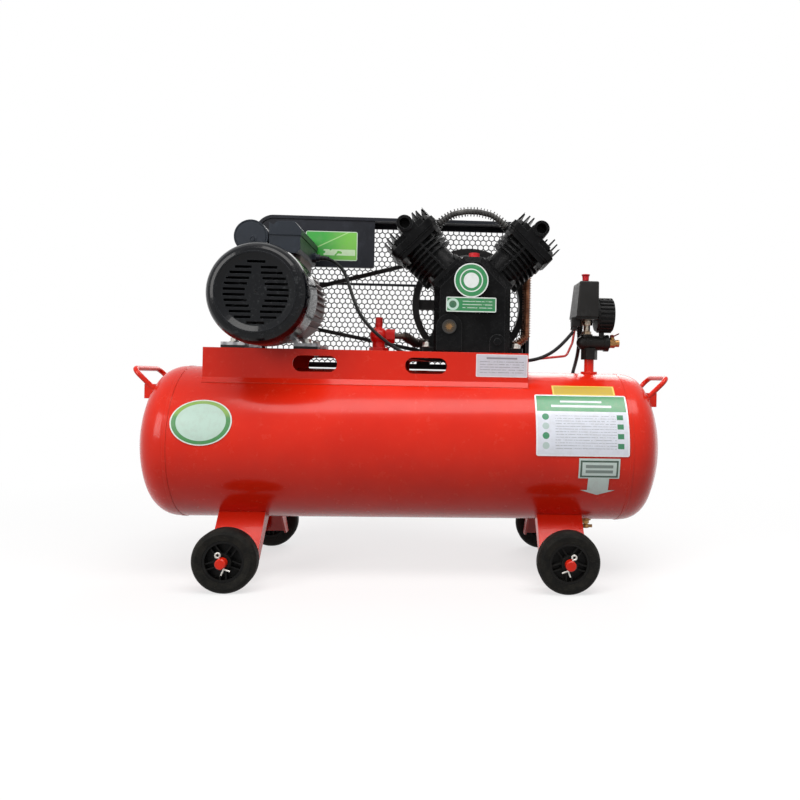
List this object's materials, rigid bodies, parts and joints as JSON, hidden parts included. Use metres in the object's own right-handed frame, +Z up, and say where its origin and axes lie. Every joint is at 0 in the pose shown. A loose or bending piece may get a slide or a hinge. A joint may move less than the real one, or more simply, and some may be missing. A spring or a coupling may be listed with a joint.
{
  "type": "portable piston air compressor",
  "caption": "Belt-driven V-twin piston air compressor with electric motor and mesh belt guard on a horizontal air receiver carried by small wheels.",
  "frame": {"origin": "on the floor under the middle of the receiver", "axes": "+X along the receiver towards the outlet end, +Y towards the belt guard, +Z up"},
  "size_m": [1.056, 0.43, 0.7466],
  "materials": {
    "red_paint": "gloss",
    "zinc": "satin",
    "tyre_rubber": "matte",
    "hub_plastic": "satin",
    "drain_brass": "satin",
    "pump_black": "satin paint",
    "glass": "clear",
    "red_plastic": "gloss",
    "machined_steel": "machined",
    "piston_alloy": "machined",
    "pipe_black": "satin",
    "pipe_copper": "satin",
    "valve_red": "gloss",
    "tube_red": "satin",
    "flywheel_iron": "satin paint",
    "belt_rubber": "matte",
    "motor_grey": "satin paint",
    "fan_plastic": "matte",
    "cowl_black": "gloss",
    "box_black": "semi-gloss",
    "guard_black": "satin",
    "mesh_wire": "painted wire",
    "manifold_black": "satin",
    "switch_black": "satin",
    "gauge_black": "matte",
    "needle_red": "satin",
    "brass": "satin",
    "lever_red": "gloss",
    "cable_black": "matte"
  },
  "bodies": {
    "machine": {"axles": "red_paint", "base_plate": "red_paint", "bearing_cover": "pump_black", "bolts_and_nuts": "zinc", "capacitor_cover": "box_black", "check_valve": "valve_red", "con_rods": "machined_steel", "crankcase": "pump_black", "crossover_pipe": "pipe_black", "cylinder_left": "pump_black", "cylinder_right": "pump_black", "discharge_pipe": "pipe_copper", "drain_body": "drain_brass", "fan_cowl": "cowl_black", "gauge_case": "gauge_black", "guard_mesh": "mesh_wire", "guard_panel": "guard_black", "guard_rim": "guard_black", "handles": "red_paint", "head_left": "pump_black", "head_right": "pump_black", "legs": "red_paint", "mains_coil": "cable_black", "mains_lead": "cable_black", "mains_plug": "cable_black", "manifold": "manifold_black", "motor_cable": "cable_black", "motor_frame": "motor_grey", "pistons": "piston_alloy", "pressure_switch": "switch_black", "riser_pipe": "red_paint", "sight_glass": "glass", "split_pins": "zinc", "stator": "machined_steel", "tank_heads": "red_paint", "tank_shell": "red_paint", "terminal_box": "box_black", "unloader_tube": "tube_red", "v_belt": "belt_rubber", "valve_body": "brass", "valve_plates": "pump_black", "wrist_pins": "machined_steel"},
    "wheel_front_left": {"tyre_front_left": "tyre_rubber", "hub_front_left": "hub_plastic"},
    "wheel_front_right": {"tyre_front_right": "tyre_rubber", "hub_front_right": "hub_plastic"},
    "wheel_rear_left": {"tyre_rear_left": "tyre_rubber", "hub_rear_left": "hub_plastic"},
    "wheel_rear_right": {"tyre_rear_right": "tyre_rubber", "hub_rear_right": "hub_plastic"},
    "crank": {"crankshaft": "machined_steel", "flywheel": "flywheel_iron"},
    "motor_rotor": {"rotor": "machined_steel", "motor_fan": "fan_plastic", "motor_pulley": "flywheel_iron"},
    "switch_button": {"switch_knob": "red_plastic"},
    "gauge_pointer": {"gauge_needle": "needle_red"},
    "outlet_lever": {"valve_lever": "lever_red"},
    "drain_key": {"drain_wing": "drain_brass"},
    "breather": {"breather_cap": "red_plastic"}
  },
  "joints": [
    {"name": "wheel_front_left_spin", "type": "hinge", "parent": "machine", "child": "wheel_front_left", "pos_m": [-0.308, -0.182, 0.0575], "axis": [0, 1, 0], "continuous": true},
    {"name": "wheel_front_right_spin", "type": "hinge", "parent": "machine", "child": "wheel_front_right", "pos_m": [0.308, -0.182, 0.0575], "axis": [0, 1, 0], "continuous": true},
    {"name": "wheel_rear_left_spin", "type": "hinge", "parent": "machine", "child": "wheel_rear_left", "pos_m": [-0.308, 0.182, 0.0575], "axis": [0, 1, 0], "continuous": true},
    {"name": "wheel_rear_right_spin", "type": "hinge", "parent": "machine", "child": "wheel_rear_right", "pos_m": [0.308, 0.182, 0.0575], "axis": [0, 1, 0], "continuous": true},
    {"name": "flywheel_spin", "type": "hinge", "parent": "machine", "child": "crank", "pos_m": [0.129, 0.1125, 0.55], "axis": [0, 1, 0], "continuous": true},
    {"name": "motor_spin", "type": "hinge", "parent": "machine", "child": "motor_rotor", "pos_m": [-0.261, 0.1125, 0.535], "axis": [0, 1, 0], "continuous": true},
    {"name": "switch_knob_slide", "type": "slide", "parent": "machine", "child": "switch_button", "axis": [0, 0, 1], "range_m": [-0.0036, 0]},
    {"name": "gauge_needle_turn", "type": "hinge", "parent": "machine", "child": "gauge_pointer", "pos_m": [0.4175, -0.007, 0.525], "axis": [-1, 0, 0], "range_deg": [0, 270], "stiffness_Nm_per_rad": 0.002},
    {"name": "outlet_lever_turn", "type": "hinge", "parent": "machine", "child": "outlet_lever", "pos_m": [0.4245, 0, 0.482], "axis": [0, 0, 1], "range_deg": [0, 90]},
    {"name": "drain_key_turn", "type": "hinge", "parent": "machine", "child": "drain_key", "pos_m": [0.376, 0, 0.087], "axis": [0, 0, 1], "range_deg": [0, 90]},
    {"name": "breather_lift", "type": "slide", "parent": "machine", "child": "breather", "axis": [0, 0, 1], "range_m": [0, 0.02]}
  ],
  "couplings": [
    {"joint": "motor_spin", "follows": "flywheel_spin", "ratio": 3.6923}
  ]
}
